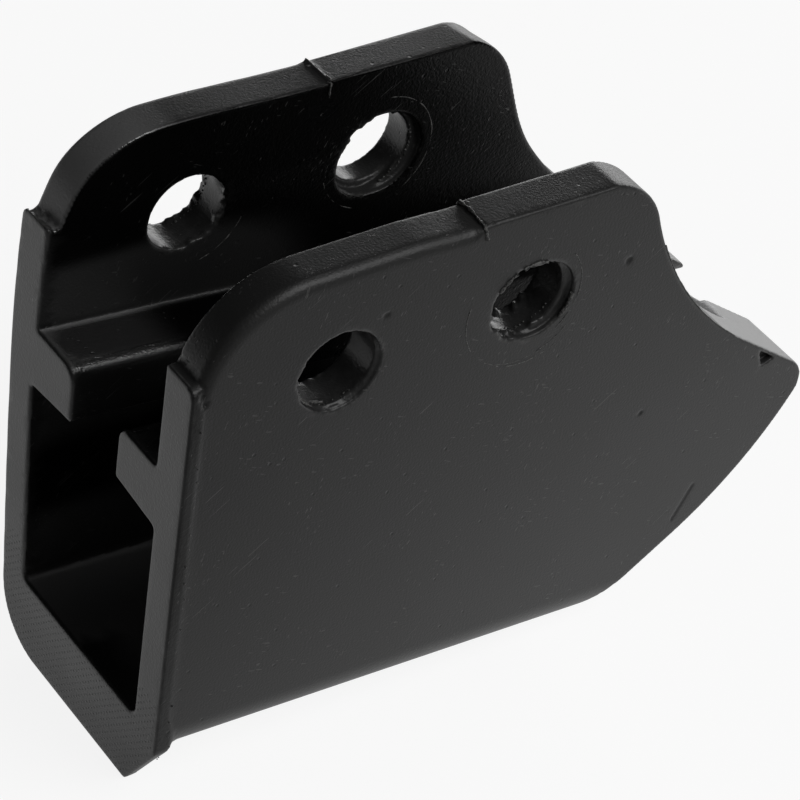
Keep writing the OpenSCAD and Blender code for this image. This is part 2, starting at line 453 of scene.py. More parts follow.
def grid_axis(k):
    return np.arange(low[k] - MARGIN, high[k] + MARGIN, STEP, dtype=np.float32)


def mesh_from_rule(name, rule):
    gx, gy, gz = grid_axis(0), grid_axis(1), grid_axis(2)
    values = rule(gx[:, None, None], gy[None, :, None], gz[None, None, :])
    values = np.clip(values, -3 * STEP, 3 * STEP).astype(np.float32)
    grid = openvdb.FloatGrid(3 * STEP)
    grid.copyFromArray(values)
    points, tris, quads = grid.convertToPolygons(isovalue=0.0, adaptivity=0.0)
    points = (points * STEP + np.array([gx[0], gy[0], gz[0]])) * MM
    faces = [tuple(face) for face in (*tris, *quads)]
    mesh = bpy.data.meshes.new(name)
    mesh.from_pydata(points, [], faces)
    mesh.update()
    print("grid", values.shape, "faces", len(mesh.polygons))
    return mesh


def add_object(name, mesh):
    obj = bpy.data.objects.new(name, mesh)
    bpy.context.scene.collection.objects.link(obj)
    return obj


block = add_object("moulded_block", mesh_from_rule("moulded_block", block_distance))

# %% Thin the skin
TRIANGLES = 170000


def apply_modifiers(obj):
    """Puts the evaluated mesh in place of the modifiers."""
    evaluated = obj.evaluated_get(bpy.context.evaluated_depsgraph_get())
    mesh = bpy.data.meshes.new_from_object(evaluated)
    obj.modifiers.clear()
    obj.data = mesh


def count_triangles(obj):
    return sum(len(face.vertices) - 2 for face in obj.data.polygons)


thin = block.modifiers.new("thin", "DECIMATE")
thin.ratio = min(1, TRIANGLES / (2 * len(block.data.polygons)))
apply_modifiers(block)
block.data.shade_smooth()
weigh = block.modifiers.new("flat faces lead the shading", "WEIGHTED_NORMAL")
weigh.weight = 90
apply_modifiers(block)
print("triangles", count_triangles(block))

# %% [markdown]
# ## Where the finish changes
#
# Wear shows on the edges, where a painted highlight lies as well, the bores are torn, and the
# slanting cut at the tail gets a painted highlight for the shine it catches. Painting those masks
# by hand would be slow, but the rule already knows the shape: a point pushed a little way into
# the block is less deep than that way only where an edge is near. The inside walls get painted
# shade, the flange's sides and the low end face get painted shade as a duller reflection, the
# left plate's front corner is dulled a little, and dust lies on the channel's floor and on the
# front corner of the right plate. Those masks ask where a point lies and which way it faces.

# %% Masks on the mesh
def vertex_arrays(mesh):
    points = np.empty(len(mesh.vertices) * 3, dtype=np.float32)
    normals = np.empty(len(mesh.vertices) * 3, dtype=np.float32)
    mesh.vertices.foreach_get("co", points)
    mesh.vertex_normals.foreach_get("vector", normals)
    return points.reshape(-1, 3) / MM, normals.reshape(-1, 3)


def store_mask(mesh, name, values):
    mask = mesh.attributes.new(name, "FLOAT", "POINT")
    mask.data.foreach_set("value", np.clip(values, 0, 1).astype(np.float32))
    print("mask", name, "covers", round(100 * float(np.mean(values > 0.5)), 1), "%")


spots, facing = vertex_arrays(block.data)
px, py, pz = spots.T
PUSH = 0.7
EDGE_GAIN, EDGE_START = 1.7, 0.1
pushed = (spots - PUSH * facing).T
store_mask(block.data, "edge", EDGE_GAIN * (1 + block_distance(*pushed) / PUSH) - EDGE_START)

from_front = np.hypot(px - front_bolt[0], pz - front_bolt[2])
from_rear = np.hypot(px - rear_bolt[0], pz - rear_bolt[2])
in_bore = ease(-np.minimum(from_front, from_rear), -bolt_r - 0.9, -bolt_r - 0.1)
store_mask(block.data, "bore", in_bore * (np.abs(py) > half_slot - 1))

# Painted highlight: the slanting cut at the tail is coloured pale for the shine it catches from the back
# right.
along_cut = ease(facing[:, 0] * cut_out[0] + facing[:, 2] * cut_out[1], 0.8, 0.96)
store_mask(block.data, "fresh_cut", along_cut * (px > trim_x - 4))

# Painted shade: the channel's inside walls are made darker and mirror less, the upward rail tops the most.
on_wall = ease(-np.abs(room_distance(px, py, pz)), -0.3, -0.12) * (np.abs(py) < half_channel + 0.3)
on_floor = (facing[:, 2] > 0.7) & (pz < -40)
far_in = ease(-px, -60, -44) * ease(px, end_x + 0.2, end_x + 1)
darkest = np.where(facing[:, 2] > 0.5, 1.0, 0.8)
store_mask(block.data, "painted_shade", darkest * on_wall * ~on_floor * far_in)

# Painted shade: the flange's side band and the low end face mirror less, for the darker band and for the
# shadowed floor they reflect. The left plate's front corner mirrors a little less as well.
flange_side = (px < end_x + flange_t) & (np.abs(facing[:, 1]) > 0.7) & (np.abs(py) > half_slot)
up_and_front = ease(facing[:, 2] - facing[:, 0], 0.5, 0.9) * (px > end_x + 0.5)
left_corner = (py < 0) * ease(-px, 4, 9) * ease(pz, 1, 4) * up_and_front
low_end = 0.8 * (facing[:, 0] < -0.7) * ease(-pz, 49, 55)
dull_and_painted_shade = np.maximum(np.maximum(flange_side, low_end), 0.3 * left_corner)
store_mask(block.data, "dull_and_painted_shade", dull_and_painted_shade)

right_corner = (py > 0) * ease(-px, 2, 8) * up_and_front
channel_floor = on_floor * (np.abs(py) < half_channel) * ease(px, end_x + 2, end_x + 8)
store_mask(block.data, "dusty", np.maximum(right_corner, channel_floor))

# %% [markdown]
# ## The plastic
#
# Black moulded plastic is almost black itself, and most of what the eye sees is the room in its
# satin skin. So the colour stays very dark, and the detail is in the roughness, in a fine grain
# and in small pits. The patterns are node groups, because the torn plastic uses them as well. They
# read Object coordinates, which are the same on every piece, turned into millimetres first.

# %% Helpers for node trees
def add_node(tree, kind, values=None, **settings):
    node = tree.nodes.new(kind)
    for key, value in settings.items():
        setattr(node, key, value)
    for key, value in (values or {}).items():
        node.inputs[key].default_value = value
    return node


def feed(tree, value, socket):
    """Links another node's output, or sets a plain value."""
    if isinstance(value, bpy.types.NodeSocket):
        tree.links.new(value, socket)
    else:
        socket.default_value = value


def new_group(name, inputs, outputs):
    tree = bpy.data.node_groups.new(name, "ShaderNodeTree")
    for label, value in inputs.items():
        socket = tree.interface.new_socket(label, in_out="INPUT", socket_type="NodeSocketFloat")
        socket.default_value = value
    for label in outputs:
        tree.interface.new_socket(label, in_out="OUTPUT", socket_type="NodeSocketFloat")
    return tree, tree.nodes.new("NodeGroupInput"), tree.nodes.new("NodeGroupOutput")


def millimetres(tree):
    place = add_node(tree, "ShaderNodeTexCoord")
    scaled = add_node(tree, "ShaderNodeVectorMath", {"Scale": 1 / MM}, operation="SCALE")
    tree.links.new(place.outputs["Object"], scaled.inputs[0])
    return scaled.outputs["Vector"]


def math_node(tree, operation, a, b=0.0):
    node = add_node(tree, "ShaderNodeMath", operation=operation)
    for socket, value in zip(node.inputs, (a, b)):
        feed(tree, value, socket)
    return node.outputs[0]


def remap(tree, value, low_in, high_in, low_out=0.0, high_out=1.0):
    limits = {"From Min": low_in, "From Max": high_in, "To Min": low_out, "To Max": high_out}
    node = add_node(tree, "ShaderNodeMapRange", limits)
    tree.links.new(value, node.inputs["Value"])
    return node.outputs["Result"]


def noise(tree, vector, scale, detail=2.0):
    node = add_node(tree, "ShaderNodeTexNoise", {"Detail": detail})
    tree.links.new(vector, node.inputs["Vector"])
    feed(tree, scale, node.inputs["Scale"])
    return node.outputs["Fac"]


# %% Group: the moulded skin
tree, given, result = new_group(
    "moulded_grain", {"Grain Size": 0.4, "Pit Spacing": 2.5}, ["Height", "Blotch", "Pits"]
)
where = millimetres(tree)
grain = noise(tree, where, math_node(tree, "DIVIDE", 1.0, given.outputs["Grain Size"]), 1.0)
tree.links.new(grain, result.inputs["Height"])
tree.links.new(remap(tree, noise(tree, where, 0.09, 1.5), 0.3, 0.7), result.inputs["Blotch"])
cells = add_node(tree, "ShaderNodeTexVoronoi")
tree.links.new(where, cells.inputs["Vector"])
tree.links.new(math_node(tree, "DIVIDE", 1.0, given.outputs["Pit Spacing"]), cells.inputs["Scale"])
chance = add_node(tree, "ShaderNodeSeparateColor")
tree.links.new(cells.outputs["Color"], chance.inputs[0])
some = math_node(tree, "GREATER_THAN", chance.outputs[0], 0.45)
pits = math_node(tree, "MULTIPLY", remap(tree, cells.outputs["Distance"], 0.05, 0.11, 1.0, 0.0), some)
tree.links.new(pits, result.inputs["Pits"])
print("group", tree.name, "nodes", len(tree.nodes))

# %% Group: fine scratches from handling
SCRATCH_TURNS = [(0.0, 0.62, 0.0), (0.0, -0.35, 0.2), (0.3, 1.2, 0.0)]
tree, given, result = new_group("handling_scuffs", {"Spacing": 0.35, "Length": 9.0, "Patch": 0.5}, ["Mask"])
where = millimetres(tree)
across = math_node(tree, "DIVIDE", 1.0, given.outputs["Spacing"])
along = math_node(tree, "DIVIDE", 1.0, given.outputs["Length"])
stretch = add_node(tree, "ShaderNodeCombineXYZ")
for axis, value in zip("XYZ", (along, across, across)):
    tree.links.new(value, stretch.inputs[axis])
lines = 0.0
for turn in SCRATCH_TURNS:
    turned = add_node(tree, "ShaderNodeVectorRotate", {"Rotation": turn}, rotation_type="EULER_XYZ")
    tree.links.new(where, turned.inputs["Vector"])
    stretched = add_node(tree, "ShaderNodeVectorMath", operation="MULTIPLY")
    tree.links.new(turned.outputs["Vector"], stretched.inputs[0])
    tree.links.new(stretch.outputs["Vector"], stretched.inputs[1])
    thin_lines = remap(tree, noise(tree, stretched.outputs["Vector"], 1.0, 1.0), 0.7, 0.76)
    patches = noise(tree, turned.outputs["Vector"], 0.14, 1.0)
    here = math_node(tree, "GREATER_THAN", patches, given.outputs["Patch"])
    lines = math_node(tree, "MAXIMUM", math_node(tree, "MULTIPLY", thin_lines, here), lines)
tree.links.new(lines, result.inputs["Mask"])
print("group", tree.name, "nodes", len(tree.nodes))

# %% Group: worn edges, partly a painted highlight
tree, given, result = new_group("edge_wear", {"Edge": 0.0, "Patch Size": 1.6, "Amount": 0.5}, ["Mask"])
where = millimetres(tree)
breakup = noise(tree, where, math_node(tree, "DIVIDE", 1.0, given.outputs["Patch Size"]), 4.0)
broken = remap(tree, breakup, 0.42, 0.66)
worn = math_node(tree, "MULTIPLY", remap(tree, given.outputs["Edge"], 0.3, 0.85), broken)
tree.links.new(math_node(tree, "MULTIPLY", worn, given.outputs["Amount"]), result.inputs["Mask"])
print("group", tree.name, "nodes", len(tree.nodes))

# %% [markdown]
# The skin, the scratches and the worn edges meet in one material. Its roughness changes with the
# blotches, the bores and the slanting cut have their own values, and the grain goes through one
# Bump node whose distance is under a tenth of a millimetre. The flange's side, the low end face
# and the inside walls get painted shade: a black metallic share makes them mirror less than the
# clean skin, and the inside walls are painted darker too. The left plate's front corner mirrors a
# little less as well. The slanting cut is painted pale as a highlight, the edges are paler partly
# as wear and partly as a painted highlight, and scratches are paler.

# %% Material: black plastic
def place_group(tree, name, **values):
    node = add_node(tree, "ShaderNodeGroup", node_tree=bpy.data.node_groups[name])
    for key, value in values.items():
        node.inputs[key.replace("_", " ")].default_value = value
    return node


def read_mask(tree, name):
    return add_node(tree, "ShaderNodeAttribute", attribute_name=name).outputs["Fac"]


def blend(tree, mask, a, b):
    """Colour a where the mask is 0, colour b where it is 1."""
    node = add_node(tree, "ShaderNodeMix", data_type="RGBA")
    tree.links.new(mask, node.inputs["Factor"])
    for socket, value in ((node.inputs[6], a), (node.inputs[7], b)):
        feed(tree, (*value, 1) if isinstance(value, tuple) else value, socket)
    return node.outputs[2]


def blend_value(tree, mask, a, b):
    node = add_node(tree, "ShaderNodeMix", data_type="FLOAT")
    tree.links.new(mask, node.inputs["Factor"])
    for socket, value in ((node.inputs[2], a), (node.inputs[3], b)):
        feed(tree, value, socket)
    return node.outputs[0]


# The darkest black is painted shade for the channel's inside walls.
PAINTED_SHADE_BLACK = (0.004, 0.004, 0.004)
BLACK = (0.0220, 0.0220, 0.0222)
WORN_BLACK = (0.0265, 0.0265, 0.0260)
# The pale edge colour is partly wear and partly a painted highlight along the edges.
RUBBED_AND_HIGHLIGHT = (0.110, 0.110, 0.107)
SCRATCHED = (0.110, 0.110, 0.107)
# The pale grey is a painted highlight on the slanting cut.
CUT_HIGHLIGHT = (0.36, 0.36, 0.36)
DUST = (0.15, 0.15, 0.15)
TORN = (0.030, 0.030, 0.030)
BUMP_HEIGHT = 0.045
GRAIN_SHARE, SCRATCH_SHARE = 0.8, 0.4

plastic = bpy.data.materials.new("black_plastic")
plastic.use_nodes = True
tree = plastic.node_tree
shader = tree.nodes["Principled BSDF"]
skin = place_group(tree, "moulded_grain", Grain_Size=0.3, Pit_Spacing=2.4)
scuffs = place_group(tree, "handling_scuffs", Spacing=0.3, Length=8.0, Patch=0.56)
wear_and_highlight = place_group(tree, "edge_wear", Patch_Size=1.4, Amount=0.7)
tree.links.new(read_mask(tree, "edge"), wear_and_highlight.inputs["Edge"])
bore, cut_highlight = read_mask(tree, "bore"), read_mask(tree, "fresh_cut")
painted_shade, dull_and_painted_shade = read_mask(tree, "painted_shade"), read_mask(tree, "dull_and_painted_shade")
scratches = math_node(tree, "MULTIPLY", scuffs.outputs["Mask"], 0.5)
torn_patches = remap(tree, noise(tree, millimetres(tree), 0.9, 3.0), 0.45, 0.6)

color = blend(tree, skin.outputs["Blotch"], BLACK, WORN_BLACK)
# Painted shade on the inside walls.
color = blend(tree, painted_shade, color, PAINTED_SHADE_BLACK)
color = blend(tree, read_mask(tree, "dusty"), color, DUST)
# Paler edges: partly wear, partly a painted highlight.
color = blend(tree, wear_and_highlight.outputs["Mask"], color, RUBBED_AND_HIGHLIGHT)
color = blend(tree, scratches, color, SCRATCHED)
color = blend(tree, math_node(tree, "MULTIPLY", bore, torn_patches), color, TORN)
# Painted highlight on the slanting cut.
color = blend(tree, cut_highlight, color, CUT_HIGHLIGHT)
tree.links.new(color, shader.inputs["Base Color"])

rough = remap(tree, skin.outputs["Blotch"], 0.0, 1.0, 0.40, 0.44)
rough = blend_value(tree, painted_shade, rough, 0.24)
rough = blend_value(tree, bore, rough, 0.34)
rough = blend_value(tree, cut_highlight, rough, 0.38)
tree.links.new(rough, shader.inputs["Roughness"])

# Painted shade as a duller reflection on the inside walls, the flange's side and the low end face, and a
# little at the left plate's front corner.
shade_dulling = math_node(tree, "MULTIPLY", dull_and_painted_shade, remap(tree, skin.outputs["Blotch"], 0.0, 1.0, 0.3, 0.6))
dull = math_node(tree, "MAXIMUM", math_node(tree, "MULTIPLY", painted_shade, 0.95), shade_dulling)
clean_lines = math_node(tree, "SUBTRACT", 1.0, scratches)
tree.links.new(math_node(tree, "MULTIPLY", dull, clean_lines), shader.inputs["Metallic"])
shader.inputs["Specular IOR Level"].default_value = 0.45

relief = math_node(tree, "MULTIPLY", skin.outputs["Height"], GRAIN_SHARE)
relief = math_node(tree, "SUBTRACT", relief, skin.outputs["Pits"])
scratch_depth = math_node(tree, "MULTIPLY", scuffs.outputs["Mask"], SCRATCH_SHARE)
relief = math_node(tree, "SUBTRACT", relief, scratch_depth)
bump = add_node(tree, "ShaderNodeBump", {"Strength": 1.0, "Distance": BUMP_HEIGHT * MM})
tree.links.new(relief, bump.inputs["Height"])
tree.links.new(bump.outputs["Normal"], shader.inputs["Normal"])
block.data.materials.clear()
block.data.materials.append(plastic)
print("material", plastic.name, "nodes", len(tree.nodes))

# %% [markdown]
# Where a knife or a drill tore the plastic, the small lips of it are stretched and paler. They
# share the grain and the scratches, with closer pits, shorter scratches and other colours.

# %% Material: torn plastic
STRETCHED, STRETCHED_PALE = (0.03, 0.03, 0.03), (0.13, 0.13, 0.125)
STRETCHED_SCRATCHED = (0.26, 0.26, 0.25)
torn_plastic = bpy.data.materials.new("torn_plastic")
torn_plastic.use_nodes = True
tree = torn_plastic.node_tree
shader = tree.nodes["Principled BSDF"]
skin = place_group(tree, "moulded_grain", Grain_Size=0.25, Pit_Spacing=1.0)
scuffs = place_group(tree, "handling_scuffs", Spacing=0.2, Length=2.0, Patch=0.4)
pale = remap(tree, skin.outputs["Height"], 0.4, 0.62)
color = blend(tree, pale, STRETCHED, STRETCHED_PALE)
color = blend(tree, scuffs.outputs["Mask"], color, STRETCHED_SCRATCHED)
tree.links.new(color, shader.inputs["Base Color"])
tree.links.new(remap(tree, skin.outputs["Blotch"], 0.0, 1.0, 0.32, 0.5), shader.inputs["Roughness"])
bump = add_node(tree, "ShaderNodeBump", {"Strength": 0.9, "Distance": 0.06 * MM})
tree.links.new(skin.outputs["Height"], bump.inputs["Height"])
tree.links.new(bump.outputs["Normal"], shader.inputs["Normal"])
print("material", torn_plastic.name, "nodes", len(tree.nodes))

# %% [markdown]
# ## Beads that follow a line
#
# Where the two halves of the mould met, a thin ragged ridge stands across each plate. Washers left
# rings round the bolts, and the drill left lips round the bores. All of them are a bead that
# follows a line, so one Geometry Nodes tree makes them: it cuts the line into short steps, gives
# each step its own radius from a fixed seed and sweeps a small circle along it. Half of the bead
# lies in the plastic.

# %% Geometry Nodes: a ragged bead
def geometry_tree(name, inputs):
    tree = bpy.data.node_groups.new(name, "GeometryNodeTree")
    tree.interface.new_socket("Geometry", in_out="INPUT", socket_type="NodeSocketGeometry")
    for label, (kind, value) in inputs.items():
        tree.interface.new_socket(label, in_out="INPUT", socket_type=kind).default_value = value
    tree.interface.new_socket("Geometry", in_out="OUTPUT", socket_type="NodeSocketGeometry")
    return tree, tree.nodes.new("NodeGroupInput"), tree.nodes.new("NodeGroupOutput")


LENGTH, NUMBER, WHOLE = "NodeSocketFloat", "NodeSocketFloat", "NodeSocketInt"


def finish_tree(tree, geometry, result, material):
    real = add_node(tree, "GeometryNodeRealizeInstances")
    paint = add_node(tree, "GeometryNodeSetMaterial", {"Material": material})
    tree.links.new(geometry, real.inputs["Geometry"])
    tree.links.new(real.outputs["Geometry"], paint.inputs["Geometry"])
    tree.links.new(paint.outputs["Geometry"], result.inputs["Geometry"])
    print("tree", tree.name, "nodes", len(tree.nodes))


def bead_tree(name, material):
    tree, given, result = geometry_tree(
        name,
        {
            "Radius": (LENGTH, 0.1 * MM),
            "Raggedness": (NUMBER, 0.5),
            "Step": (LENGTH, 0.3 * MM),
            "Seed": (WHOLE, 1),
        },
    )
    line = add_node(tree, "GeometryNodeMeshToCurve")
    steps = add_node(tree, "GeometryNodeResampleCurve", mode="LENGTH")
    tree.links.new(given.outputs["Geometry"], line.inputs["Mesh"])
    tree.links.new(line.outputs["Curve"], steps.inputs["Curve"])
    tree.links.new(given.outputs["Step"], steps.inputs["Length"])
    least = math_node(tree, "SUBTRACT", 1.0, given.outputs["Raggedness"])
    most = math_node(tree, "ADD", 1.0, given.outputs["Raggedness"])
    share = add_node(tree, "FunctionNodeRandomValue", data_type="FLOAT")
    tree.links.new(least, share.inputs[2])
    tree.links.new(most, share.inputs[3])
    tree.links.new(given.outputs["Seed"], share.inputs["Seed"])
    sized = add_node(tree, "GeometryNodeSetCurveRadius")
    tree.links.new(steps.outputs["Curve"], sized.inputs["Curve"])
    radius = math_node(tree, "MULTIPLY", given.outputs["Radius"], share.outputs[1])
    tree.links.new(radius, sized.inputs["Radius"])
    circle = add_node(tree, "GeometryNodeCurvePrimitiveCircle", {"Resolution": 6, "Radius": 1.0})
    sweep = add_node(tree, "GeometryNodeCurveToMesh", {"Fill Caps": True})
    tree.links.new(sized.outputs["Curve"], sweep.inputs["Curve"])
    tree.links.new(circle.outputs["Curve"], sweep.inputs["Profile Curve"])
    if "Scale" in sweep.inputs:
        tree.links.new(radius, sweep.inputs["Scale"])
    finish_tree(tree, sweep.outputs["Mesh"], result, material)
    return tree


pale_bead = bead_tree("pale_bead", torn_plastic)


# %% Helpers: a line, and the tree turned into a mesh
def line_mesh(name, lines):
    """Open lines through points given in millimetres."""
    mesh = bpy.data.meshes.new(name)
    points, edges = [], []
    for line in lines:
        start = len(points)
        points += [tuple(float(value) * MM for value in point) for point in line]
        edges += [(start + k, start + k + 1) for k in range(len(line) - 1)]
    mesh.from_pydata(points, edges, [])
    return mesh


def grow(name, mesh, tree, **values):
    """Runs a Geometry Nodes tree on a mesh and keeps what it makes as a plain mesh."""
    piece = add_object(name, mesh)
    modifier = piece.modifiers.new("grow", "NODES")
    modifier.node_group = tree
    for item in tree.interface.items_tree:
        key = item.name.replace(" ", "_")
        if item.in_out == "INPUT" and key in values:
            modifier[item.identifier] = values[key]
    apply_modifiers(piece)
    print(name, "triangles", count_triangles(piece))
    return piece


# %% [markdown]
# The lines lie on the block, so each of their points is moved along the rule's own slope until
# the distance is zero.

# %% Helper: settle points on the block
def settled(points, lift=0.0):
    points = np.array(points, dtype=np.float64)
    for _ in range(12):
        value = block_distance(*points.T)
        slope = np.stack([
            block_distance(*(points + 0.02 * axis).T) - block_distance(*(points - 0.02 * axis).T)
            for axis in np.eye(3)
        ], axis=1)
        slope /= np.maximum(np.linalg.norm(slope, axis=1, keepdims=True), 1e-6)
        points -= 0.8 * (value - lift)[:, None] * slope
    return points


def arc(bolt, y, r, start, stop, shift=(0.0, 0.0), count=24):
    """Points of an arc round a bolt, angles in degrees from X towards Z."""
    turns = np.radians(np.linspace(start, stop, count))
    around_x = bolt[0] + shift[0] + r * np.cos(turns)
    around_z = bolt[2] + shift[1] + r * np.sin(turns)
    return np.stack([around_x, np.full(count, y), around_z], axis=1)


# %% Seam ridges
def seam_line(side, reach_down, inner_drop):
    """Down the inner face a little, over the top and down the outer face."""
    inner = [(seam_x, side * (half_slot - 0.1), top_z - drop) for drop in np.linspace(inner_drop, 0.4, 5)]
    over = [(seam_x + 0.1 * math.sin(4 * t), side * (half_slot + t * plate_t), top_z - 0.1)
            for t in np.linspace(0.03, 0.93, 18)]
    outer = [(seam_x + 0.05 * k, side * (half_w + 0.1), top_z - drop)
             for k, drop in enumerate(np.linspace(0.6, reach_down, 7))]
    return settled(inner + over + outer, 0.02)


seam_left = grow(
    "seam_ridge_left", line_mesh("seam_left", [seam_line(-1, 1.7, 0.6)]), pale_bead,
    Radius=0.17 * MM, Raggedness=0.6, Step=0.3 * MM, Seed=3,
)
seam_right = grow(
    "seam_ridge_right", line_mesh("seam_right", [seam_line(1, 0.8, 2.6)[:20]]), pale_bead,
    Radius=0.1 * MM, Raggedness=0.6, Step=0.3 * MM, Seed=8,
)

# %% Rings left by washers
RINGS = [
    arc(rear_bolt, -half_w, 8.0, 165, 215, (-0.4, -0.3)),
    arc(rear_bolt, -half_w, 8.2, 235, 325, (-0.2, -0.3)),
    arc(rear_bolt, -half_w, 7.2, -50, 40, (-0.1, 0.0)),
    arc(rear_bolt, -half_w, 8.9, 245, 300, (0.6, -0.1)),
    arc(rear_bolt, half_slot, 7.5, -75, 85, (0.1, 0.0), 36),
    arc(rear_bolt, half_slot, 7.5, 195, 250, (0.2, -0.1)),
    arc(front_bolt, half_slot, 7.6, -75, -20),
]
rings = grow(
    "washer_rings", line_mesh("rings", [settled(ring, -0.02) for ring in RINGS]), pale_bead,
    Radius=0.055 * MM, Raggedness=0.9, Step=0.6 * MM, Seed=5,
)

# %% A thin pale bead along the hollow of the left plate, a painted highlight
hollow_turns = np.radians(np.linspace(205, 232, 26))
hollow_lip = [(sprocket[0] + hollow_r * math.cos(t), -half_w + 0.1, sprocket[1] + hollow_r * math.sin(t))
              for t in hollow_turns]
# The pale bead stands for the bright rim that the back-right light puts on the hollow's edge: a painted
# highlight made as geometry.
rim = grow(
    "hollow_lip", line_mesh("rim", [settled(hollow_lip, 0.0)]), pale_bead,
    Radius=0.07 * MM, Raggedness=0.5, Step=0.5 * MM, Seed=14,
)

# %% Torn lips of the bores
LIPS = [
    arc(rear_bolt, -half_w, 5.1, 72, 108, count=12),
    arc(rear_bolt, -half_w, 5.1, 118, 150, count=10),
    arc(front_bolt, -half_w + 1.3, 4.75, 190, 262, count=14),
    arc(front_bolt, -half_w + 0.5, 4.9, 200, 240, count=10),
    arc(rear_bolt, half_w - 0.4, 4.7, 125, 165, count=10),
    arc(rear_bolt, -half_w, 6.1, -40, -10, (0.1, 0.0), 8),
]
lips = grow(
    "bore_lips", line_mesh("lips", [settled(lip, 0.03) for lip in LIPS]), pale_bead,
    Radius=0.2 * MM, Raggedness=0.65, Step=0.35 * MM, Seed=11,
)


# %% [markdown]
# ## Slivers and crumbs
#
# The drill left loose slivers in the bores, and crumbs stick along the flange. They are too many
# to place by hand. A second tree spreads small pointed grains along a line and turns and sizes
# each by chance, again from a fixed seed.

# %% Geometry Nodes: grains along a line
def grain_tree(name, material):
    tree, given, result = geometry_tree(
        name,
        {
            "Size": (LENGTH, 0.3 * MM),
            "Spacing": (LENGTH, 0.6 * MM),
            "Spread": (LENGTH, 0.3 * MM),
            "Stretch": (NUMBER, 2.0),
            "Seed": (WHOLE, 1),
        },
    )
    line = add_node(tree, "GeometryNodeMeshToCurve")
    points = add_node(tree, "GeometryNodeCurveToPoints", mode="LENGTH")
    tree.links.new(given.outputs["Geometry"], line.inputs["Mesh"])
    tree.links.new(line.outputs["Curve"], points.inputs["Curve"])
    tree.links.new(given.outputs["Spacing"], points.inputs["Length"])
    drift = add_node(tree, "FunctionNodeRandomValue", data_type="FLOAT_VECTOR")
    drift.inputs[0].default_value = (-1, -1, -1)
    drift.inputs[1].default_value = (1, 1, 1)
    tree.links.new(given.outputs["Seed"], drift.inputs["Seed"])
    scaled = add_node(tree, "ShaderNodeVectorMath", operation="SCALE")
    tree.links.new(drift.outputs[0], scaled.inputs[0])
    tree.links.new(given.outputs["Spread"], scaled.inputs["Scale"])
    moved = add_node(tree, "GeometryNodeSetPosition")
    tree.links.new(points.outputs["Points"], moved.inputs["Geometry"])
    tree.links.new(scaled.outputs["Vector"], moved.inputs["Offset"])
    grain = add_node(tree, "GeometryNodeMeshIcoSphere", {"Subdivisions": 1})
    half = math_node(tree, "MULTIPLY", given.outputs["Size"], 0.5)
    tree.links.new(half, grain.inputs["Radius"])
    turn = add_node(tree, "FunctionNodeRandomValue", data_type="FLOAT_VECTOR")
    turn.inputs[1].default_value = (math.tau, math.tau, math.tau)
    share = add_node(tree, "FunctionNodeRandomValue", data_type="FLOAT_VECTOR")
    share.inputs[0].default_value = (0.35, 0.35, 0.35)
    share.inputs[1].default_value = (1.0, 1.0, 1.0)
    for node, offset in ((turn, 1), (share, 2)):
        tree.links.new(math_node(tree, "ADD", given.outputs["Seed"], offset), node.inputs["Seed"])
    long_way = add_node(tree, "ShaderNodeCombineXYZ", {"Y": 1.0, "Z": 1.0})
    tree.links.new(given.outputs["Stretch"], long_way.inputs["X"])
    size = add_node(tree, "ShaderNodeVectorMath", operation="MULTIPLY")
    tree.links.new(share.outputs[0], size.inputs[0])
    tree.links.new(long_way.outputs[0], size.inputs[1])
    spread = add_node(tree, "GeometryNodeInstanceOnPoints")
    tree.links.new(moved.outputs["Geometry"], spread.inputs["Points"])
    tree.links.new(grain.outputs["Mesh"], spread.inputs["Instance"])
    tree.links.new(turn.outputs[0], spread.inputs["Rotation"])
    tree.links.new(size.outputs[0], spread.inputs["Scale"])
    finish_tree(tree, spread.outputs["Instances"], result, material)
    return tree


pale_grains = grain_tree("pale_grains", torn_plastic)

# %% Slivers in the bores, crumbs on the flange
SLIVERS = [
    arc(rear_bolt, -half_w + 0.4, 5.0, 60, 160, count=20),
    arc(rear_bolt, -half_w + 1.6, 4.9, 215, 330, count=20),
    arc(front_bolt, -half_w + 0.9, 4.9, 185, 300, count=20),
    arc(front_bolt, half_w - 0.8, 4.9, -80, 20, count=20),
    arc(rear_bolt, half_w - 0.8, 4.9, 120, 170, count=10),
    arc(rear_bolt, half_slot + 0.9, 5.2, -70, 20, count=16),
]
slivers = grow(
    "bore_slivers", line_mesh("slivers", [settled(line) for line in SLIVERS]), pale_grains,
    Size=0.32 * MM, Spacing=0.55 * MM, Spread=0.14 * MM, Stretch=1.8, Seed=21,
)
FLANGE_LINES = [
    [(end_x + 1.6, -half_w - 0.1, z) for z in np.linspace(-52, -2, 30)],
    [(end_x + 1.9, -half_w - 0.1, z) for z in np.linspace(-53, -49, 6)],
    [(seam_x - 3.5, -half_w + 0.1, top_z - 1.2), (seam_x - 5.5, -half_w + 0.1, top_z - 1.2)],
]
crumbs = grow(
    "flange_crumbs", line_mesh("crumbs", [settled(line) for line in FLANGE_LINES]), pale_grains,
    Size=0.3 * MM, Spacing=2.3 * MM, Spread=0.18 * MM, Stretch=1.3, Seed=33,
)

# %% [markdown]
# ## The dotted end
#
# The lower part of the end face has rows of tiny dots, printed by the mould. They repeat over a
# surface, so a third tree lays a turned grid on the end face, keeps the points that the block
# carries, and puts a low dome on each.

